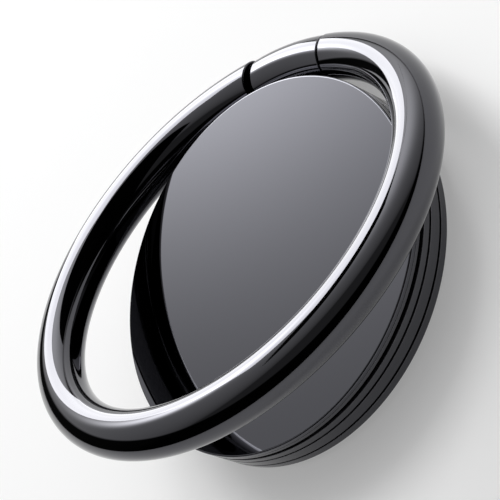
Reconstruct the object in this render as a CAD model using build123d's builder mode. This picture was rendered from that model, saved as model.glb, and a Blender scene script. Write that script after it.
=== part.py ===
from build123d import *
import os
from math import sqrt

# Phone ring holder: a low disc, stuck to the telephone by a foam pad, whose upper layers turn on a
# central rivet and carry a finger ring on a hinge at the rim.
# Millimetres. Z is the disc's axis, z = 0 is the pad's sticky underside, and the hinge pin lies
# along X on the +Y side. The ring is drawn raised, as it stands when it props or is picked up.

# Disc, layer by layer from the telephone upwards
disc_d = 30.0  # turned wall of the metal layers
pad_t = 1.0  # foam pad
pad_set = 1.0  # its edge, back from the wall
base_t = 0.66
slip_t = 0.18  # washer between base plate and turntable, seen as the lower dark seam
slip_set = 2.0  # its edge, back from the wall
table_t = 0.95
seam_h = 0.18  # shadow line under the cap
seam_depth = 0.30
band_h = 0.60  # plain band of the cap
groove_h = 0.36  # turned groove of the cap
groove_depth = 0.40
rim_h = 0.33  # thin rim above the groove
face_t = 0.40  # mirror plate
face_round = 0.15  # its rounded edge
film_t = 0.10  # bonding film, sunk into the cap
film_set = 1.5  # its edge, back from the wall: the width of the rim's flat top
edge_break = 0.05  # broken edges of the turned layers

# Swivel: rivet, spring and washer, all under the cap
flange_d = 9.0  # flange of the rivet, sunk into the base plate
flange_t = 0.30
journal_d = 6.0  # the turntable turns on this
neck_d = 4.0
head_d = 5.6  # peened head
head_h = 0.30
retainer_d = 8.0
retainer_t = 0.25
spring_d = 12.0  # conical spring washer
spring_t = 0.12
spring_h = 0.30  # its height as squeezed
head_room = 0.11  # air between the peened head and the cap
spigot_d = 22.0  # raised ring of the turntable that the cap is pressed over
spigot_w = 1.20
spigot_h = 0.60

# Ring and hinge
wire_d = 3.73  # round bar of the ring and of the knuckle
ring_clear = 0.465  # closed ring to the disc's wall
ring_lift = 0.25  # closed ring to the telephone
open_deg = 19.6  # how far the ring is drawn raised
knuckle_len = 7.2
tongue_w = 6.0  # web from the turntable to the knuckle
tongue_round = 0.40
hinge_gap = 0.45  # each seam between knuckle and ring end
end_round = 0.12  # edges of the ring's ends and of the knuckle
pin_d = 1.0
pin_out = 0.42  # pin outside the bar's centre line
pin_rise = 0.25  # pin above the middle of the bar
pin_recess = 0.25  # pin ends below the ring's surface
sleeve_wall = 0.20  # rolled split bush that grips the pin
sleeve_slit = 0.25
sleeve_inset = 0.15  # its ends inside the knuckle
hinge_washer_d = 2.0

# Fits (radial unless they say otherwise)
press_fit = 0.01  # pieces driven or bonded together
swivel_fit = 0.03  # turntable on the journal, washers round it
pin_fit = 0.02  # pin in the sleeve and in the hinge washers
washer_play = 0.05  # along the pin, on each side of a hinge washer
spring_fit = 0.20  # spring round the journal

# Worked-out sizes
disc_r = disc_d / 2
pad_d = disc_d - 2 * pad_set
slip_d = disc_d - 2 * slip_set
film_d = disc_d - 2 * film_set
wire_r = wire_d / 2
pin_r = pin_d / 2
journal_r = journal_d / 2
sleeve_r = pin_r + pin_fit + sleeve_wall

base_z = pad_t
slip_z = base_z + base_t
table_z = slip_z + slip_t
cap_z = table_z + table_t
band_z = cap_z + seam_h
groove_z = band_z + band_h
rim_z = groove_z + groove_h
face_z = rim_z + rim_h

retainer_z = cap_z + spring_h
head_z = retainer_z + retainer_t
ceiling_z = head_z + head_h + head_room

ring_r = disc_r + ring_clear + wire_r  # bar's centre line, round the disc's axis when closed
ring_z = ring_lift + wire_r
pin_y = ring_r + pin_out
pin_z = ring_z + pin_rise
ring_end = knuckle_len / 2 + hinge_gap  # the ring's end faces, at +X and -X

# Where the pin's outer side breaks through the bar, less the recess
bar_edge_r = ring_r + sqrt(wire_r**2 - pin_rise**2)
pin_half = sqrt(bar_edge_r**2 - (pin_y + pin_r) ** 2) - pin_recess

# The closed ring's plane, swung about the pin to the drawn angle
ring_plane = Plane(
    Location((0, pin_y, pin_z), (-open_deg, 0, 0)) * Location((0, -pin_y, -pin_rise))
)
# Across the pin, at the middle of the knuckle: extrusions run along the pin
hinge_plane = Plane(origin=(0, pin_y, pin_z), x_dir=(0, 1, 0), z_dir=(1, 0, 0))


# Pieces stuck to the telephone

with BuildPart() as adhesive_pad:
    with BuildSketch(Plane.XY):
        Circle(pad_d / 2)
    extrude(amount=pad_t)

with BuildPart() as base_plate:
    with BuildSketch(Plane.XY.offset(base_z)):
        Circle(disc_r)
    extrude(amount=base_t)
    chamfer(base_plate.edges().filter_by(GeomType.CIRCLE), edge_break)
    # Stepped hole, entered from below: the flange sits flush with the sticky side
    with Locations(Location((0, 0, base_z), (180, 0, 0))):
        CounterBoreHole(
            radius=journal_r + press_fit,
            counter_bore_radius=flange_d / 2 + press_fit,
            counter_bore_depth=flange_t,
        )

with BuildPart() as swivel_rivet:
    with BuildSketch(Plane.XZ):
        with BuildLine():
            shank = Polyline(
                (0, base_z),
                (flange_d / 2, base_z),
                (flange_d / 2, base_z + flange_t),
                (journal_r, base_z + flange_t),
                (journal_r, retainer_z),
                (neck_d / 2, retainer_z),
                (neck_d / 2, head_z),
                (head_d / 2, head_z),
            )
            peened = TangentArc((0, head_z + head_h), shank @ 1, tangent=(1, 0))
            Line(peened @ 0, shank @ 0)
        make_face()
    revolve(axis=Axis.Z)

with BuildPart() as slip_washer:
    with BuildSketch(Plane.XY.offset(slip_z)):
        Circle(slip_d / 2)
        Circle(journal_r + swivel_fit, mode=Mode.SUBTRACT)
    extrude(amount=slip_t)

with BuildPart() as retaining_washer:
    with BuildSketch(Plane.XY.offset(retainer_z)):
        Circle(retainer_d / 2)
        Circle(neck_d / 2 + press_fit, mode=Mode.SUBTRACT)
    extrude(amount=retainer_t)


# Pieces that turn on the rivet

# The knuckle is cut from the same torus as the closed ring, so that the two lie flush
with BuildPart(Plane.XY.offset(ring_z)) as knuckle:
    Torus(ring_r, wire_r)
    Box(
        knuckle_len,
        ring_r + wire_d,
        2 * wire_d,
        align=(Align.CENTER, Align.MIN, Align.CENTER),
        mode=Mode.INTERSECT,
    )
    fillet(knuckle.faces().filter_by(Axis.X).edges(), end_round)

with BuildPart() as turntable:
    with BuildSketch(Plane.XY.offset(table_z)) as plan:
        Circle(disc_r)
        Rectangle(tongue_w, ring_r, align=(Align.CENTER, Align.MIN))
        roots = plan.vertices().filter_by(
            lambda v: abs(abs(v.X) - tongue_w / 2) < edge_break and v.Y < disc_r
        )
        fillet(roots, tongue_round)
    extrude(amount=table_t)
    with BuildSketch(Plane.XY.offset(cap_z)):
        Circle(spigot_d / 2)
        Circle(spigot_d / 2 - spigot_w, mode=Mode.SUBTRACT)
    extrude(amount=spigot_h)
    add(knuckle.part)
    with Locations((0, 0, cap_z)):
        Hole(journal_r + swivel_fit)
    with BuildSketch(hinge_plane):
        Circle(sleeve_r + press_fit)
    extrude(amount=knuckle_len, both=True, mode=Mode.SUBTRACT)

with BuildPart() as disc_spring:
    with BuildSketch(Plane.XZ):
        with BuildLine():
            Polyline(
                (journal_r + spring_fit, retainer_z - spring_t),
                (journal_r + spring_fit, retainer_z),
                (spring_d / 2, cap_z + spring_t),
                (spring_d / 2, cap_z),
                close=True,
            )
        make_face()
    revolve(axis=Axis.Z)

with BuildPart() as cap:
    with BuildSketch(Plane.XZ):
        with BuildLine():
            Polyline(
                (0, ceiling_z),
                (spigot_d / 2 + press_fit, ceiling_z),
                (spigot_d / 2 + press_fit, cap_z),
                (disc_r - seam_depth, cap_z),
                (disc_r - seam_depth, band_z),
                (disc_r, band_z),
                (disc_r, groove_z),
                (disc_r - groove_depth, groove_z),
                (disc_r - groove_depth, rim_z),
                (disc_r, rim_z),
                (disc_r, face_z),
                (film_d / 2 + press_fit, face_z),
                (film_d / 2 + press_fit, face_z - film_t),
                (0, face_z - film_t),
                close=True,
            )
        make_face()
    revolve(axis=Axis.Z)
    rims = cap.edges().filter_by(GeomType.CIRCLE).filter_by(lambda e: e.radius > disc_r - edge_break)
    chamfer(rims, edge_break)

with BuildPart() as face_film:
    with BuildSketch(Plane.XY.offset(face_z - film_t)):
        Circle(film_d / 2)
    extrude(amount=film_t)

with BuildPart() as face_plate:
    with BuildSketch(Plane.XY.offset(face_z)):
        Circle(disc_r)
    extrude(amount=face_t)
    fillet(face_plate.faces().sort_by(Axis.Z)[-1].edges(), face_round)

with BuildPart() as friction_sleeve:
    with BuildSketch(hinge_plane):
        Circle(sleeve_r)
        Circle(pin_r + pin_fit, mode=Mode.SUBTRACT)
        Rectangle(sleeve_r * 2, sleeve_slit, align=(Align.MAX, Align.CENTER), mode=Mode.SUBTRACT)
    extrude(amount=knuckle_len / 2 - sleeve_inset, both=True)


# Pieces that swing on the hinge

with BuildPart(ring_plane) as finger_ring:
    Torus(ring_r, wire_r)
    # Mouth for the knuckle and its two seams
    Box(
        2 * ring_end,
        ring_r + wire_d,
        2 * wire_d,
        align=(Align.CENTER, Align.MIN, Align.CENTER),
        mode=Mode.SUBTRACT,
    )
    fillet(finger_ring.faces().filter_by(Axis.X).edges(), end_round)
    # Both ends are drilled right through in one pass
    with BuildSketch(hinge_plane):
        Circle(pin_r + press_fit)
    extrude(amount=ring_r, both=True, mode=Mode.SUBTRACT)

with BuildPart() as hinge_pin:
    with BuildSketch(hinge_plane):
        Circle(pin_r)
    extrude(amount=pin_half, both=True)
    chamfer(hinge_pin.edges().filter_by(GeomType.CIRCLE), edge_break)

washer_start = knuckle_len / 2 + washer_play
washer_t = hinge_gap - 2 * washer_play

with BuildPart() as hinge_washer_left:
    with BuildSketch(hinge_plane.offset(-washer_start - washer_t)):
        Circle(hinge_washer_d / 2)
        Circle(pin_r + pin_fit, mode=Mode.SUBTRACT)
    extrude(amount=washer_t)

with BuildPart() as hinge_washer_right:
    with BuildSketch(hinge_plane.offset(washer_start)):
        Circle(hinge_washer_d / 2)
        Circle(pin_r + pin_fit, mode=Mode.SUBTRACT)
    extrude(amount=washer_t)


pieces = {
    "adhesive_pad": adhesive_pad,
    "base_plate": base_plate,
    "swivel_rivet": swivel_rivet,
    "slip_washer": slip_washer,
    "retaining_washer": retaining_washer,
    "turntable": turntable,
    "disc_spring": disc_spring,
    "cap": cap,
    "face_film": face_film,
    "face_plate": face_plate,
    "friction_sleeve": friction_sleeve,
    "finger_ring": finger_ring,
    "hinge_pin": hinge_pin,
    "hinge_washer_left": hinge_washer_left,
    "hinge_washer_right": hinge_washer_right,
}
os.makedirs("parts", exist_ok=True)
for name, piece in pieces.items():
    piece.part.label = name
    export_step(piece.part, f"parts/{name}.step")
    print(name, round(piece.part.volume, 2), "mm3")
print("pin axis y, z:", round(pin_y, 4), round(pin_z, 4), "disc height", round(face_z + face_t, 3))
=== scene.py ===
# %% [markdown]
# # A phone ring holder, dressed in Blender
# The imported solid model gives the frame: three bodies (base, turntable and ring) and fifteen
# pieces, each of them where it belongs. This lesson rebuilds the pieces that show as fine,
# exactly curved surfaces, because everything on this object is a mirror, and a mirror shows
# every facet. The hidden pieces stay as they are and only get their finish.

import bmesh
import bpy
import numpy as np
from mathutils import Matrix, Vector


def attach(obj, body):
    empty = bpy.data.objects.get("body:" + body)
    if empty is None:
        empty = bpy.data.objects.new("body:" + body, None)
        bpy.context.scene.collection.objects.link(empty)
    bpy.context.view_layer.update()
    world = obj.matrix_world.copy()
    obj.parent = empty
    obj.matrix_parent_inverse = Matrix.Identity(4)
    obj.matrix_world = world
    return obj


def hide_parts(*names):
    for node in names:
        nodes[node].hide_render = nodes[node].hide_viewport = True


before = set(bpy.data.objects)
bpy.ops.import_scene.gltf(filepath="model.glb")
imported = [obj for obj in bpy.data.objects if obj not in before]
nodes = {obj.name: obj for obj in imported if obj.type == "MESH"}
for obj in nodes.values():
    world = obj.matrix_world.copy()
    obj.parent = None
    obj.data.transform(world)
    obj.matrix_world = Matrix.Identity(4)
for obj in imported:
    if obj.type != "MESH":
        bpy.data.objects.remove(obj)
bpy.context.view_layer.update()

# %% [markdown]
# ## The camera
# The photograph looks down on the holder from one side with a long lens, and the camera is
# rolled, so that the hinge comes to the top of the picture. A camera can be aimed with a
# constraint, but a rolled one is easier to write as three directions: right, up and backwards
# are the columns of its matrix. The picture is square, and all of the framing is in the aim.

# %% Camera
MM = 0.001
eye = Vector((99.553, -48.803, 101.572)) * MM
right = Vector((0.70769, 0.06553, -0.70348)).normalized()
up = Vector((0.19425, 0.93927, 0.28290)).normalized()
back = right.cross(up).normalized()
up = back.cross(right)
lens = bpy.data.cameras.new("photo_camera")
lens.sensor_width, lens.lens = 36.0, 140.30
lens.clip_start, lens.clip_end = 0.01, 10.0
camera = bpy.data.objects.new("photo_camera", lens)
camera.matrix_world = Matrix.Translation(eye) @ Matrix((right, up, back)).transposed().to_4x4()
bpy.context.scene.collection.objects.link(camera)
bpy.context.scene.camera = camera
print("camera", [round(x / MM, 1) for x in eye], "mm away", round(eye.length / MM, 1))

# %% [markdown]
# ## From formula to mesh
# Every piece below is one or more grids of points: rows along one parameter, columns along the
# other. A grid also carries the exact direction in which the surface faces at each point. If
# Blender worked that out from the faces, long flat cells beside small rounded ones would bend
# the reflections. Kept from the formula, a mirror stays a mirror.

# %% Grids into one welded mesh
WELD = 3e-7  # points nearer than this, in metres, become one


def cells(rows, columns):
    """Corner numbers of the quads of a rows x columns grid: cell (i, j) joins the points
    (i, j), (i, j+1), (i+1, j+1) and (i+1, j)."""
    i, j = np.mgrid[0 : rows - 1, 0 : columns - 1]
    at = i * columns + j
    return np.stack([at, at + 1, at + columns + 1, at + columns], -1).reshape(-1, 4)


def surface(name, patches, body, replaced):
    """One object from several grids. A patch is (points, normals, uv, edge), arrays over the
    same rows and columns, in millimetres; edge is 1 on rounded edges, for the wear there. Each
    cell becomes a quad, turned so that it faces along its normals; common borders, seams and
    poles are welded; the given normals shade it."""
    points, normals, faces, uvs, edges, count = [], [], [], [], [], 0
    for p, n, uv, edge in patches:
        rows, columns = p.shape[:2]
        quad = cells(rows, columns)
        flat, facing = p.reshape(-1, 3), n.reshape(-1, 3)
        a, b, c, d = (flat[quad[:, corner]] for corner in range(4))
        if (np.cross(c - a, d - b) * facing[quad].mean(1)).sum() < 0:
            quad = quad[:, ::-1]
        points.append(flat * MM)
        normals.append(facing)
        uvs.append(uv.reshape(-1, 2)[quad].reshape(-1, 2))
        edges.append(np.broadcast_to(edge, p.shape[:2]).ravel())
        faces.append(quad + count)
        count += len(flat)
    mesh = bpy.data.meshes.new(name)
    mesh.from_pydata(np.concatenate(points), [], np.concatenate(faces))
    joined = lambda arrays: np.concatenate(arrays).astype(np.float32).ravel()
    mesh.uv_layers.new(name="path").data.foreach_set("uv", joined(uvs))
    exact = mesh.attributes.new("facing", "FLOAT_VECTOR", "POINT")
    exact.data.foreach_set("vector", joined(normals))
    mesh.attributes.new("edge", "FLOAT", "POINT").data.foreach_set("value", joined(edges))
    weld = bmesh.new()
    weld.from_mesh(mesh)
    bmesh.ops.remove_doubles(weld, verts=weld.verts, dist=WELD)
    open_edges = sum(1 for e in weld.edges if len(e.link_faces) != 2)
    weld.to_mesh(mesh)
    weld.free()
    mesh.polygons.foreach_set("use_smooth", np.ones(len(mesh.polygons), bool))
    kept = np.zeros(len(mesh.vertices) * 3, np.float32)
    mesh.attributes["facing"].data.foreach_get("vector", kept)
    mesh.normals_split_custom_set_from_vertices(kept.reshape(-1, 3))
    mesh.attributes.remove(mesh.attributes["facing"])
    piece = bpy.data.objects.new(name, mesh)
    bpy.context.scene.collection.objects.link(piece)
    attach(piece, body)
    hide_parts(*replaced)
    print(name, len(mesh.polygons), "faces,", open_edges, "open edges")
    return piece


def unit(v):
    """Vectors of length 1 in the same directions."""
    return v / np.linalg.norm(v, axis=-1, keepdims=True)


# %% [markdown]
# ## The turned layers of the disc
# Base plate, turntable, cap and face plate are lathe work: one outline, spun round the axis.
# Blender's Spin or Screw would do that, but the outlines need clean rounded edges, which catch
# the thin bright lines between the layers. So the outline is worked out first, with an arc on
# each corner, and then carried round a circle.

# %% Outline with rounded corners, and the lathe
ARC_SHARE = 0.45  # of a side's length, the most that an arc takes at each end


def rounded(corners, radius, steps=6, closed=True):
    """Outline through the corners (r, z), listed anticlockwise, with an arc on each corner
    that touches both of its sides. The arc's points are centre + radius times the direction
    between the two sides' normals, and in an inward corner minus that. An open outline starts
    and ends at its first and last corner. Returns points, outward normals and the edge mask,
    which rises to 1 in the middle of each arc."""
    c = np.asarray(corners, float)
    before, after = np.roll(c, 1, 0) - c, np.roll(c, -1, 0) - c
    d1, d2 = unit(before), unit(after)
    n1 = np.stack([-d1[:, 1], d1[:, 0]], -1)
    n2 = np.stack([d2[:, 1], -d2[:, 0]], -1)
    a1 = np.arctan2(n1[:, 1], n1[:, 0])
    turn = (np.arctan2(n2[:, 1], n2[:, 0]) - a1 + np.pi) % (2 * np.pi) - np.pi
    half = np.arccos(np.clip((d1 * d2).sum(1), -1, 1)) / 2
    shorter = np.minimum(*(np.linalg.norm(v, axis=1) for v in (before, after)))
    r = np.minimum(radius, ARC_SHARE * shorter * np.tan(half))
    centre = c + unit(d1 + d2) * (r / np.sin(half))[:, None]
    angle = a1[:, None] + turn[:, None] * np.linspace(0, 1, steps)
    n = np.stack([np.cos(angle), np.sin(angle)], -1)
    p = centre[:, None] + (np.sign(turn) * r)[:, None, None] * n
    mask = np.repeat(np.sin(np.linspace(0, np.pi, steps))[None, :, None], len(c), 0)
    mask[turn < 0] = 0
    flat = lambda v: v.reshape(-1, v.shape[-1])
    if not closed:
        p[0], n[0] = c[0], n2[0]
        p[-1], n[-1] = c[-1], n1[-1]
        mask[[0, -1]] = 0
        return tuple(np.concatenate([v[0, :1], flat(v[1:-1]), v[-1, :1]]) for v in (p, n, mask))
    return tuple(np.concatenate([flat(v), v[0, :1]]) for v in (p, n, mask))


def turned(outline, around=192, place=None):
    """Lathe: the outline's point (r, z) at angle a goes to (r cos a, r sin a, z). place is a
    function that lays this on another axis. The uv map holds the path round and the outline's
    own length, in millimetres."""
    (p, n, mask), a = outline, np.linspace(0, 2 * np.pi, around + 1)

    def spun(v):
        x, y = (np.outer(v[:, 0], turn(a)) for turn in (np.cos, np.sin))
        return np.stack([x, y, np.repeat(v[:, 1:], len(a), 1)], -1)

    run = np.concatenate([[0], np.cumsum(np.linalg.norm(np.diff(p, axis=0), axis=1))])
    uv = np.stack(np.broadcast_arrays(a[None] * p[:, 0].max(), run[:, None]), -1)
    points, normals = spun(p), spun(n)
    return (points, normals, uv, mask) if place is None else (*place(points, normals), uv, mask)


# %% Sizes of the layers, in millimetres
disc_r, edge = 15.0, 0.05
base_z, slip_z, table_z, cap_z = 1.0, 1.66, 1.84, 2.79
band_z, groove_z, rim_z, face_z, top_z = 2.97, 3.57, 3.93, 4.26, 4.66
seam_r, groove_r = 14.7, 14.6  # floors of the shadow line and of the groove
pad_r, slip_r, film_r = 14.0, 13.0, 13.51  # pad, slip film, and the recess of the face's film
rivet_r, bearing_r = 3.01, 3.03  # holes round the rivet, fixed and turning
flange_r, flange_z = 4.51, 1.3  # counterbore for the rivet's flange
spigot_r, spigot_in_r, spigot_z = 11.0, 9.8, 3.39  # raised ring that the cap sits on
socket_r, ceiling_z, film_z = 11.01, 3.75, 4.16  # the cap's hollow and its recess

base_outline = rounded(
    [(rivet_r, slip_z), (rivet_r, flange_z), (flange_r, flange_z), (flange_r, base_z),
     (disc_r, base_z), (disc_r, slip_z)], edge)
table_outline = rounded(
    [(bearing_r, cap_z), (bearing_r, table_z), (disc_r, table_z), (disc_r, cap_z),
     (spigot_r, cap_z), (spigot_r, spigot_z), (spigot_in_r, spigot_z), (spigot_in_r, cap_z)], edge)
cap_outline = rounded(
    [(0, ceiling_z), (socket_r, ceiling_z), (socket_r, cap_z), (seam_r, cap_z), (seam_r, band_z),
     (disc_r, band_z), (disc_r, groove_z), (groove_r, groove_z), (groove_r, rim_z),
     (disc_r, rim_z), (disc_r, face_z), (film_r, face_z), (film_r, film_z), (0, film_z)],
    edge, closed=False)
face_edges = (0, 0.04, 0.15, 0)  # sharp below, well rounded above
face_outline = rounded(
    [(0, face_z), (disc_r, face_z), (disc_r, top_z), (0, top_z)], face_edges, 10, False)
slip_outline = rounded(
    [(bearing_r, slip_z), (slip_r, slip_z), (slip_r, table_z), (bearing_r, table_z)], 0.03)
pad_outline = rounded([(0, 0), (pad_r, 0), (pad_r, base_z), (0, base_z)], 0.06, closed=False)

base_plate = surface("base_layer", [turned(base_outline)], "base", ["base_plate"])
turntable = surface(
    "turning_layer", [turned(table_outline)], "turntable", ["turntable"])
cap = surface("grooved_cap", [turned(cap_outline)], "turntable", ["cap"])
face = surface("mirror_face", [turned(face_outline)], "turntable", ["face_plate"])
slip = surface("slip_film", [turned(slip_outline)], "base", ["slip_washer"])
pad = surface("foam_pad", [turned(pad_outline)], "base", ["adhesive_pad"])

# %% [markdown]
# ## The bar that makes the ring and the knuckle
# Ring and knuckle are one round bar bent to one circle, so that the closed ring runs flush
# through its own hinge. A Torus primitive can't be cut for the mouth without leaving facets, so
# the bar is a formula: an angle along the bend and an angle round the bar. The mouth is cut
# flat, across the pin, and each angle round the bar therefore ends at its own angle along the
# bend. The cut ends are rounded over and drilled for the pin.

# %% Bar, rounded end and drilled end face
bend_r, bar_r, bar_z = 17.33, 1.865, 2.115
pin_y, pin_z, pin_rise = 17.75, 2.365, 0.25
end_round = 0.12  # edge of a cut end
face_lip, skin_lip = 0.04, 0.05  # edges of a bore, on a cut end and on the bar's skin


def bar(along, round_bar):
    """Torus: a point at angle along (from +Y) and angle round_bar (from outwards) lies at
    ((R + r cos round) sin along, (R + r cos round) cos along, r sin round)."""
    along, round_bar = np.broadcast_arrays(along, round_bar)
    out, high = np.cos(round_bar), np.sin(round_bar)
    n = np.stack([out * np.sin(along), out * np.cos(along), high], -1)
    spine = np.stack([np.sin(along), np.cos(along), 0 * along], -1) * bend_r
    return spine + bar_r * n, n, np.stack([bend_r * along, bar_r * round_bar], -1), 0.0


def cut_at(x, round_bar):
    """Angle along the bend at which the bar's skin crosses the plane at that x."""
    return np.arcsin(x / (bend_r + bar_r * np.cos(round_bar)))


def drilled_end(x, outward, round_bar, bore_r, bore_z):
    """Rounded edge and end face of the bar where the plane at x cuts it; outward is -1 or +1
    along X. From the skin at one rounding's width, a quarter turn leads into the plane, and
    straight lines run from there to the bore. Returns the two patches and the bore's angles."""
    skin, n_skin = bar(cut_at(x - outward * end_round, round_bar), round_bar)[:2]
    corner = bar(cut_at(x, round_bar), round_bar)[0]
    n_face = np.broadcast_to([outward, 0.0, 0.0], corner.shape)
    inward = np.stack([0 * round_bar, -np.cos(round_bar), -np.sin(round_bar)], -1)
    flat = corner + end_round * inward
    t = np.linspace(0, 1, 7)[:, None, None]
    turn = (1 - t) ** 2 * skin + 2 * t * (1 - t) * corner + t**2 * flat
    turn_n = unit((1 - t) * n_skin + t * n_face)
    angle = np.unwrap(np.arctan2(flat[:, 2] - bore_z, flat[:, 1] - pin_y))

    def hole(radius, at_x):
        y, z = pin_y + radius * np.cos(angle), bore_z + radius * np.sin(angle)
        return np.stack([np.broadcast_to(at_x, angle.shape), y, z], -1)

    rim = hole(bore_r + face_lip, x)
    s = np.linspace(0, 1, 9)[:, None, None]
    plate = (1 - s) * flat + s * rim
    q = np.linspace(0, np.pi / 2, 5)
    lips = np.stack([hole(bore_r + face_lip * (1 - np.sin(k)),
                          x - outward * face_lip * (1 - np.cos(k))) for k in q])
    into = -np.stack([0 * angle, np.cos(angle), np.sin(angle)], -1)
    lips_n = unit(np.cos(q)[:, None, None] * n_face + np.sin(q)[:, None, None] * into)
    wear = lambda p, arch: np.sin(np.linspace(0, arch, len(p)))[:, None]
    patches = [(p, np.broadcast_to(n, p.shape), p[..., 1:], wear(p, arch))
               for p, n, arch in ((turn, turn_n, np.pi), (plate, n_face, 0), (lips, lips_n, np.pi))]
    return patches, angle


# %% Knuckle: the piece of the bar between the two seams
knuckle_half, sleeve_bore = 3.6, 0.73
round_steps = 96
round_bar = np.linspace(0, 2 * np.pi, round_steps + 1)
share = np.linspace(-1, 1, 33)[:, None]
skin = bar(share * cut_at(knuckle_half - end_round, round_bar), round_bar)
ends, bores = zip(*(drilled_end(side * knuckle_half, side, round_bar, sleeve_bore, pin_rise)
                    for side in (-1, 1)))
reach = np.linspace(-1, 1, 9)[:, None] * (knuckle_half - face_lip)
across, upward = np.cos(bores[0]), np.sin(bores[0])
tube_y, tube_z = pin_y + sleeve_bore * across, pin_rise + sleeve_bore * upward
tube = np.stack(np.broadcast_arrays(reach, tube_y, tube_z), -1)
tube_n = np.broadcast_to(-np.stack([0 * bores[0], across, upward], -1), tube.shape)
lift = np.array([0, 0, bar_z])
flat_patches = [skin, *ends[0], *ends[1], (tube, tube_n, tube[..., :2], 0.0)]
knuckle_patches = [(p + lift, n, uv, e) for p, n, uv, e in flat_patches]
knuckle = surface("hinge_knuckle", knuckle_patches, "turntable", ["turntable"])

# %% [markdown]
# ## The ring
# The same bar, from one side of the mouth round to the other, tilted about the pin as the
# photograph shows it. The pin's hole leaves the bar through its outer side, as a long oval.
# A Boolean could cut it, and would leave a ragged edge in a mirror. Here a window is left out
# of the grid, and a patch fills it: its outer border is the window, its inner border is the
# curve in which the drill breaks through the skin.

# %% Ring with its two drilled ends
mouth, bore = 4.05, 0.51
first, last = np.radians(15.0), np.radians(28.5)  # the window, along the bend
low, high = 5, 9  # and round the bar, in columns either side of the outermost line
window_rows = round_steps // 2 - low - high  # so the border has as many points as the bar
columns = round_bar - 2 * np.pi * low / round_steps  # starts at the window's lower edge
strip = np.linspace(0, 1, 8)[:, None]
start = cut_at(mouth + end_round, columns)
near = bar(start + strip * (first - start), columns)
mid_rows = np.linspace(first, last, window_rows + 1)[:, None]
beside = bar(mid_rows, columns[low + high :])
far = bar(np.linspace(last, np.pi, 201)[:, None], columns)
end_patches, bore_angle = drilled_end(mouth, -1, columns, bore, pin_rise)


def breakthrough(radius, angle):
    """x at which a line along the pin, at that radius and angle about it, leaves the bar:
    there the distance from the bend's axis is R + sqrt(r^2 - z^2)."""
    y, z = pin_y + radius * np.cos(angle), pin_rise + radius * np.sin(angle)
    return np.sqrt((bend_r + np.sqrt(bar_r**2 - z**2)) ** 2 - y**2), y, z


# The window's border, once round: up the first row, along the top, down the last, back below
cols, rows = columns[: low + high + 1], np.linspace(first, last, window_rows + 1)
border_along = np.concatenate(
    [np.full(low + high, first), rows[:-1], np.full(low + high, last), rows[:0:-1], [first]])
border_round = np.concatenate(
    [cols[:-1], np.full(window_rows, cols[-1]), cols[:0:-1],
     np.full(window_rows, cols[0]), cols[:1]])
hole_x = 7.0  # about the middle of the oval
middle_along, middle_round = np.arctan2(hole_x, pin_y), np.arcsin(pin_rise / bar_r)
half_along, half_round = 0.075, 0.31  # about half the oval's reach each way, in radians
hole_angle = np.unwrap(np.arctan2(
    (border_round - middle_round) / half_round, -(border_along - middle_along) / half_along))
x, y, z = breakthrough(bore + skin_lip, hole_angle)
edge_along, edge_round = np.arctan2(x, y), np.arctan2(z, np.hypot(x, y) - bend_r)
blend = np.linspace(0, 1, 12)[:, None]
patch = bar(border_along + blend * (edge_along - border_along),
            border_round + blend * (edge_round - border_round))

# %% The lip of the hole and the bore down to the end face
q = np.linspace(0, np.pi / 2, 5)[:, None]
lip_r = bore + skin_lip * (1 - np.sin(q))
lip_x = x - skin_lip * (1 - np.cos(q))
lip_y, lip_z = pin_y + lip_r * np.cos(hole_angle), pin_rise + lip_r * np.sin(hole_angle)
lip_p = np.stack([lip_x, lip_y, lip_z], -1)
inwards = -np.stack([0 * hole_angle, np.cos(hole_angle), np.sin(hole_angle)], -1)
lip_n = unit(np.cos(q)[..., None] * patch[1][-1] + np.sin(q)[..., None] * inwards)
# The end face's bore angles, started at the same place and running the same way as the hole's
spin = np.sign(bore_angle[-1] - bore_angle[0]) * np.sign(hole_angle[-1] - hole_angle[0])
turns = bore_angle[:-1] if spin > 0 else bore_angle[:-1][::-1]
gap = (turns - hole_angle[0] + np.pi) % (2 * np.pi) - np.pi
k = np.argmin(np.abs(gap))
turns = np.unwrap(np.roll(turns, -k))
turns = np.append(turns, turns[0] + np.sign(hole_angle[-1] - hole_angle[0]) * 2 * np.pi)
turns += hole_angle[0] - turns[0] - ((hole_angle[0] - turns[0] + np.pi) % (2 * np.pi) - np.pi)
way = np.linspace(0, 1, 12)[:, None]
bore_a = hole_angle + way * (turns - hole_angle)
bore_x = lip_x[-1] + way * (mouth + face_lip - lip_x[-1])
bore_p = np.stack([bore_x, pin_y + bore * np.cos(bore_a), pin_rise + bore * np.sin(bore_a)], -1)
bore_n = -np.stack([0 * bore_a, np.cos(bore_a), np.sin(bore_a)], -1)
half_ring = [near, beside, far, patch, *end_patches,
             (lip_p, lip_n, lip_p[..., :2], np.sin(2 * q)), (bore_p, bore_n, bore_p[..., :2], 0.0)]

# %% Both halves, tilted about the pin
open_angle = np.radians(19.6)
cos_open, sin_open = np.cos(open_angle), np.sin(open_angle)
tilt = np.array([[1, 0, 0], [0, cos_open, sin_open], [0, -sin_open, cos_open]])
pin_local, pin_world = np.array([0, pin_y, pin_rise]), np.array([0, pin_y, pin_z])
flip = np.array([-1, 1, 1])
ring_patches = [
    ((p * side - pin_local) @ tilt.T + pin_world, (n * side) @ tilt.T, uv * side[:2], e)
    for side in (np.ones(3), flip) for p, n, uv, e in half_ring]
ring = surface("bent_ring", ring_patches, "ring", ["finger_ring"])

# %% [markdown]
# ## Tongue, pin and washers
# A short web carries the knuckle from the turning layer. It is mostly hidden, but its light
# shows in the gap behind the ring, so it is a rounded bar whose sides flare where it leaves the
# disc. The pin's ends and the rims of the two washers show in the holes and seams of the hinge.

# %% Tongue
tongue_half, flare = 3.0, 0.4
tongue_back, tongue_front = 13.6, 17.0  # its ends, inside the disc and inside the knuckle


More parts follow.
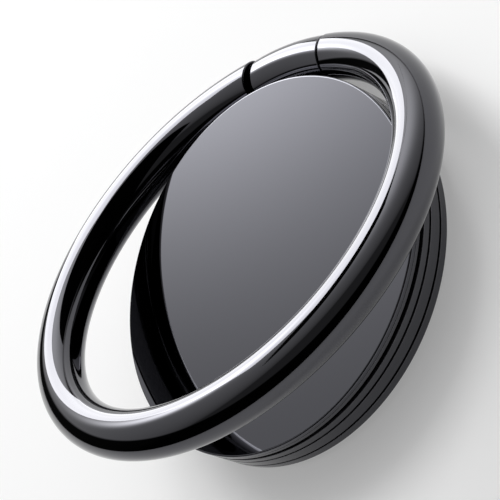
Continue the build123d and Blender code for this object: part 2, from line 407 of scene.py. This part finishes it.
def tongue_patch():
    """A rounded rectangle carried along +Y: half its width is tongue_half, plus a quarter-circle
    flare where it leaves the disc. Its ends close to a line inside the other pieces."""
    p, n, mask = rounded([(-1, table_z), (1, table_z), (1, cap_z), (-1, cap_z)], 0.03)
    flared = np.linspace(14.0, 15.2, 25)
    y = np.concatenate([[tongue_back] * 2, flared, [tongue_front] * 2])[:, None]
    root = np.sqrt(disc_r**2 - tongue_half**2)
    d = np.clip((root + flare - y) / flare, 0, 1)
    half = tongue_half + flare * (1 - np.sqrt(1 - d**2))
    half[[0, -1]] = 1e-3
    x = np.sign(p[:, 0]) * (half - (1 - np.abs(p[:, 0])))
    x[[0, -1]] = 0
    points = np.stack(np.broadcast_arrays(x, y, p[:, 1]), -1)
    normals = np.broadcast_to(np.stack([n[:, 0], 0 * n[:, 0], n[:, 1]], -1), points.shape)
    return points, normals, points[..., :2], mask[:, 0]


tongue = surface("hinge_tongue", [tongue_patch()], "turntable", ["turntable"])


# %% Pin and washers
def on_pin(p, n):
    """Lays lathe work on the hinge pin: its axis becomes X through (0, pin_y, pin_z)."""
    swap = lambda v: np.stack([v[..., 2], v[..., 0], v[..., 1]], -1)
    return swap(p) + pin_world, swap(n)


pin_r, pin_half, small_round = 0.5, 5.64, 0.06
pin_outline = rounded(
    [(0, -pin_half), (pin_r, -pin_half), (pin_r, pin_half), (0, pin_half)],
    small_round, closed=False)
pin = surface("hinge_rod", [turned(pin_outline, 48, on_pin)], "ring", ["hinge_pin"])

washer_in, washer_out, washer_t, washer_play = 0.52, 1.0, 0.35, 0.05


def washer(side, start):
    """A flat ring on the pin, from start to start plus its thickness along X."""
    stop = start + washer_t
    outline = rounded(
        [(washer_in, start), (washer_out, start), (washer_out, stop), (washer_in, stop)],
        small_round)
    return surface(f"seam_washer_{side}", [turned(outline, 64, on_pin)],
                   "ring", [f"hinge_washer_{side}"])


washers = [washer("left", -knuckle_half - washer_play - washer_t),
           washer("right", knuckle_half + washer_play)]

# %% [markdown]
# ## Finishes
# A finish here is a Principled shader with a few textures in front of it. What is the same all
# over the surface, such as how metallic it is, is set on the shader itself. What changes from
# place to place comes from textures: on the bar they follow its path, through the uv map, and on
# the turned layers they follow the lathe, through the distance from the axis and the height.

# %% Nodes in one line each
def node(tree, kind, inputs=None, **settings):
    """Adds one shader node. settings are the node's own choices; inputs gives for each socket
    a fixed value or the output of another node."""
    made = tree.nodes.new("ShaderNode" + kind)
    for key, value in settings.items():
        setattr(made, key, value)
    for key, value in (inputs or {}).items():
        if isinstance(value, bpy.types.NodeSocket):
            tree.links.new(value, made.inputs[key])
        else:
            made.inputs[key].default_value = value
    return made


def finish(name, metallic, **fixed):
    """A new material with the shader's fixed values; returns the material and its tools: the
    tree, a function that links a value to a shader socket, and the object's coordinates."""
    material = bpy.data.materials.new(name)
    material.use_nodes = True
    tree = material.node_tree
    shader = tree.nodes["Principled BSDF"]
    shader.inputs["Metallic"].default_value = metallic
    for key, value in fixed.items():
        shader.inputs[key.replace("_", " ")].default_value = value
    place = node(tree, "TexCoord").outputs["Object"]
    link = lambda socket, value: tree.links.new(value, shader.inputs[socket])
    return material, tree, link, place


def noise(tree, where, scale, detail=2.0, **more):
    """Soft random pattern, 0 to 1, with about scale lumps in each unit of the coordinates."""
    given = {"Vector": where, "Scale": scale, "Detail": detail}
    return node(tree, "TexNoise", given, **more).outputs[0]


def between(tree, value, low, high, start=0.3, stop=0.7):
    """Carries a pattern's range from start to stop over to low to high, and holds it there."""
    given = {"Value": value, "From Min": start, "From Max": stop, "To Min": low, "To Max": high}
    return node(tree, "MapRange", given).outputs[0]


def times(tree, a, b, how="MULTIPLY"):
    """Two patterns multiplied, or joined in another way of the Math node."""
    return node(tree, "Math", {0: a, 1: b}, operation=how).outputs[0]


def tint(tree, share, first, second):
    """Colour between first and second, by a pattern's share."""
    mix = node(tree, "Mix", {0: share, 6: (*first, 1), 7: (*second, 1)}, data_type="RGBA")
    return mix.outputs[2]


def relief(tree, height, depth, below=None):
    """Bump: a pattern as a height, with its full depth in metres."""
    given = {"Height": height, "Distance": depth, "Strength": 1.0}
    if below is not None:
        given["Normal"] = below
    return node(tree, "Bump", given).outputs[0]


def worn(tree):
    """The edge mask that every surface carries: 1 on rounded edges."""
    return node(tree, "Attribute", attribute_name="edge").outputs["Fac"]


def dress(material, *pieces):
    """Gives the pieces this one material."""
    for piece in pieces:
        piece.data.materials.clear()
        piece.data.materials.append(material)
    print(material.name, "on", ", ".join(p.name for p in pieces))


# %% [markdown]
# ### Black nickel, on the bar
# The ring and the knuckle are polished and plated with a black nickel that mirrors about a
# twelfth of the light that falls straight on it, and nearly all of it at a glancing angle. That
# is what a metal with a dark base colour does. Buffing leaves very fine lines along the bar,
# hands leave dull smears, and on the edges of the cut ends the plating is a little thinner.

# %% Black nickel
black_nickel, tree, link, place = finish("black_nickel", 1.0)
path = node(tree, "UVMap", uv_map="path").outputs["UV"]
along_bar = node(tree, "Mapping", {"Vector": path, "Scale": (0.08, 9.0, 1.0)}).outputs[0]
lines = noise(tree, along_bar, 1.0, 3.0)
smears = noise(tree, place, 140.0, 3.0)
link("Roughness", between(tree, times(tree, lines, smears, "ADD"), 0.03, 0.075, 0.75, 1.35))
thin = between(tree, times(tree, worn(tree), noise(tree, place, 1500.0)), 0.0, 1.0, 0.4, 0.75)
link("Base Color", tint(tree, thin, (0.081, 0.081, 0.089), (0.18, 0.18, 0.195)))
link("Normal", relief(tree, lines, 1.0e-7, relief(tree, noise(tree, place, 330.0, 1.0), 6.0e-7)))
dress(black_nickel, ring, knuckle)

# %% [markdown]
# ### Turned metal, on the side of the disc
# The wall is turned on a lathe and then plated with the same black nickel as the bar, so it is
# dark where it is seen straight on and bright where it is seen at a glancing angle. The tool has
# left hair-fine rings, which depend only on the distance from the axis and the height, so a
# noise is read at those two numbers. Across such rings a mirror image is smeared more than
# along them: that is what the shader's anisotropy does, with the tangent laid round the axis.

# %% Turned metal
turned_metal, tree, link, place = finish(
    "turned_metal", 1.0, Anisotropic=0.7, Anisotropic_Rotation=0.25)
flatten = {0: place, 1: (1.0, 1.0, 0.0)}
flat_place = node(tree, "VectorMath", flatten, operation="MULTIPLY").outputs[0]
radius = node(tree, "VectorMath", {0: flat_place}, operation="LENGTH").outputs["Value"]
height = node(tree, "SeparateXYZ", {0: place}).outputs["Z"]
lathe = node(tree, "CombineXYZ", {"X": radius, "Y": height}).outputs[0]
rings = noise(tree, lathe, 24000.0, 2.0, noise_dimensions="2D")
patches = noise(tree, place, 220.0, 3.0)
link("Roughness", between(tree, times(tree, rings, patches, "ADD"), 0.10, 0.18, 0.75, 1.3))
axis_by_place = {0: (0.0, 0.0, 1.0), 1: place}
round_axis = node(tree, "VectorMath", axis_by_place, operation="CROSS_PRODUCT").outputs[0]
to_world = {"convert_from": "OBJECT", "convert_to": "WORLD"}
link("Tangent", node(tree, "VectorTransform", {0: round_axis}, **to_world).outputs[0])
bright = times(tree, worn(tree), between(tree, patches, 0.4, 1.0))
link("Base Color", tint(tree, bright, (0.085, 0.085, 0.093), (0.20, 0.20, 0.215)))
link("Normal", relief(tree, rings, 2.5e-7))
dress(turned_metal, base_plate, turntable, cap, tongue)

# %% [markdown]
# ### The dark mirror of the face
# The face plate is flatter and cleaner than the bar: the same dark metal, with hardly any
# haze. Its place in the middle is left plain.

# %% Dark mirror
dark_mirror, tree, link, place = finish("dark_mirror", 1.0)
haze = noise(tree, place, 95.0, 4.0)
link("Roughness", between(tree, haze, 0.012, 0.04))
rim = times(tree, worn(tree), haze)
link("Base Color", tint(tree, rim, (0.080, 0.0805, 0.090), (0.15, 0.15, 0.165)))
link("Normal", relief(tree, noise(tree, place, 180.0, 1.0), 3.0e-7))
dress(dark_mirror, face)

# %% [markdown]
# ### Foam, plastics and plain steel
# Below and inside are the plain materials: the pad's foam with its small cells, the slip film
# and the hinge washers of dull plastic, and steel for what only has to be strong.

# %% Foam and plastics
foam, tree, link, place = finish("pad_foam", 0.0)
bubbles = node(tree, "TexVoronoi", {"Vector": place, "Scale": 5200.0}).outputs["Distance"]
coarse = noise(tree, place, 900.0, 3.0)
dust = between(tree, coarse, 0.0, 1.0)
link("Base Color", tint(tree, dust, (0.020, 0.020, 0.021), (0.045, 0.045, 0.047)))
link("Roughness", between(tree, coarse, 0.75, 0.95))
link("Normal", relief(tree, bubbles, 4.0e-5))
dress(foam, pad)

plastic, tree, link, place = finish("dull_plastic", 0.0)
grain = noise(tree, place, 7000.0, 3.0)
link("Base Color", tint(tree, grain, (0.010, 0.010, 0.011), (0.026, 0.026, 0.028)))
link("Roughness", between(tree, grain, 0.38, 0.6))
link("Normal", relief(tree, grain, 2.0e-6))
dress(plastic, slip, *washers, nodes["face_film"])

# %% Plain steel
steel, tree, link, place = finish("plain_steel", 1.0)
stretched = {"Vector": place, "Scale": (400.0, 9000.0, 9000.0)}
drawn = noise(tree, node(tree, "Mapping", stretched).outputs[0], 1.0, 2.0)
link("Base Color", tint(tree, drawn, (0.44, 0.43, 0.42), (0.56, 0.55, 0.54)))
link("Roughness", between(tree, drawn, 0.22, 0.4))
link("Normal", relief(tree, drawn, 4.0e-7))
inside = ("swivel_rivet", "retaining_washer", "disc_spring", "friction_sleeve")
dress(steel, pin, *(nodes[name] for name in inside))

# %% [markdown]
# ## The studio
# The photograph's light can be read off the ring, because a bent mirror shows the whole room:
# one tall softbox stands low behind the holder and gives the crisp white line on the bar, a wall
# behind it glows softly, and the camera's side of the room is black. An image of a room could
# light the scene, but a lamp and a few formulas say more clearly what does what. So there is one
# area lamp for the softbox, a black card that keeps the inner side of the far bar dark, and a
# world whose brightness is a sum of soft lobes, cut off where the lit wall ends.
#
# The floor is pale paper. The camera and the mirrors see three tenths of it as plain white, by
# way of the Light Path node: the paper looks white without more light on the holder, and still
# keeps the holder's shadow.

# %% Floor
bpy.context.scene.view_settings.view_transform = "Standard"
floor_mesh = bpy.data.meshes.new("floor")
floor_mesh.from_pydata([(-2, -2, 0), (2, -2, 0), (2, 2, 0), (-2, 2, 0)], [], [(0, 1, 2, 3)])
floor = bpy.data.objects.new("floor", floor_mesh)
bpy.context.scene.collection.objects.link(floor)
paper, tree, link, place = finish("pale_paper", 0.0, Roughness=0.9)
fibres = noise(tree, place, 60.0)
link("Base Color", tint(tree, fibres, (0.89, 0.89, 0.89), (0.91, 0.91, 0.91)))
kind = node(tree, "LightPath").outputs
seen = times(tree, kind["Is Camera Ray"], kind["Is Glossy Ray"], "MAXIMUM")
seen = times(tree, seen, kind["Is Transmission Ray"], "MAXIMUM")
white = node(tree, "Emission", {"Color": (1.0, 1.0, 1.0, 1.0), "Strength": 1.0}).outputs[0]
lit = tree.nodes["Principled BSDF"].outputs[0]
WHITE_SHARE = 0.3
mixed = {0: times(tree, seen, WHITE_SHARE), 1: lit, 2: white}
sheet = node(tree, "MixShader", mixed).outputs[0]
tree.links.new(sheet, tree.nodes["Material Output"].inputs["Surface"])
dress(paper, floor)


# %% Softbox
AIM_POINT = Vector((0, 0, 0.006))  # in the middle of the raised holder


def direction(azimuth, elevation):
    """Unit vector, azimuth from +X towards +Y and elevation above the floor, in degrees."""
    a, e = np.radians((azimuth, elevation))
    return Vector((np.cos(a) * np.cos(e), np.sin(a) * np.cos(e), np.sin(e)))


def softbox(name, azimuth, elevation, roll, wide, tall, radiance, distance):
    """A rectangle of light, wide and tall as shares of its distance, which faces the holder
    and is rolled about the line between them. A lamp's watts are radiance x pi x area."""
    aim = direction(azimuth, elevation)
    light = bpy.data.lights.new(name, "AREA")
    light.shape = "RECTANGLE"
    light.size, light.size_y = wide * distance, tall * distance
    light.energy = radiance * np.pi * light.size * light.size_y
    lamp = bpy.data.objects.new(name, light)
    across = Vector((-aim.y, aim.x, 0)).normalized()
    upwards = aim.cross(across)
    turn = np.radians(roll)
    x = np.cos(turn) * across + np.sin(turn) * upwards
    y = -np.sin(turn) * across + np.cos(turn) * upwards
    middle = AIM_POINT + aim * distance
    lamp.matrix_world = Matrix.Translation(middle) @ Matrix((x, y, aim)).transposed().to_4x4()
    lamp.visible_camera = False
    bpy.context.scene.collection.objects.link(lamp)
    print(name, "at", [round(c, 3) for c in middle], "m,", round(light.energy, 3), "W")


LEVEL = 1.4  # brightness of all the light, at which the paper shows about its own colour
softbox("key_softbox", 130.9, 25.3, 12.6, 0.424, 1.136, 4.49 * LEVEL, 0.300)

# %% Flag: a black card, seen only by the mirrors
flag_size = Vector((0.0381, 0.0593))  # half its width and height
flag_middle = Vector((-0.0070, 0.0345, 0.0724))
facing = direction(200.4, -10.9)
level = Vector((-facing.y, facing.x, 0)).normalized()
rise = facing.cross(level)
corners = [flag_middle + level * (i * flag_size.x) + rise * (j * flag_size.y)
           for i, j in ((-1, -1), (1, -1), (1, 1), (-1, 1))]
card = bpy.data.meshes.new("black_flag")
card.from_pydata(corners, [], [(0, 1, 2, 3)])
flag = bpy.data.objects.new("black_flag", card)
bpy.context.scene.collection.objects.link(flag)
felt, tree, link, place = finish("black_felt", 0.0, Roughness=1.0, Specular_IOR_Level=0.0)
nap = noise(tree, place, 300.0)
link("Base Color", tint(tree, nap, (0.002, 0.002, 0.002), (0.004, 0.004, 0.004)))
dress(felt, flag)
flag.visible_camera = flag.visible_diffuse = flag.visible_shadow = False

# %% World: a lit wall behind, a dark room in front
world = bpy.data.worlds.new("studio_walls")
bpy.context.scene.world = world
world.use_nodes = True
tree = world.node_tree
ray = node(tree, "TexCoord").outputs["Generated"]


def towards(azimuth, elevation):
    """Cosine between the ray and a fixed direction."""
    pair = {0: ray, 1: direction(azimuth, elevation)}
    return node(tree, "VectorMath", pair, operation="DOT_PRODUCT").outputs["Value"]


glow = 0.085
lobes = ((131.3, 22.0, 0.502, 0.48), (142.7, 31.9, 6.32, 90.0), (107.9, 27.8, 1.54, 11.8))
for azimuth, elevation, radiance, power in lobes:  # the higher the power, the narrower the lobe
    lobe = times(tree, times(tree, towards(azimuth, elevation), 0.0, "MAXIMUM"), power, "POWER")
    glow = times(tree, times(tree, lobe, radiance), glow, "ADD")
wall = between(tree, towards(91.2, 69.1), 0.02, 1.0, 0.335, 0.395)
strength = times(tree, times(tree, glow, wall), LEVEL)
tree.links.new(strength, tree.nodes["Background"].inputs["Strength"])
tree.nodes["Background"].inputs["Color"].default_value = (1.0, 1.0, 1.0, 1.0)
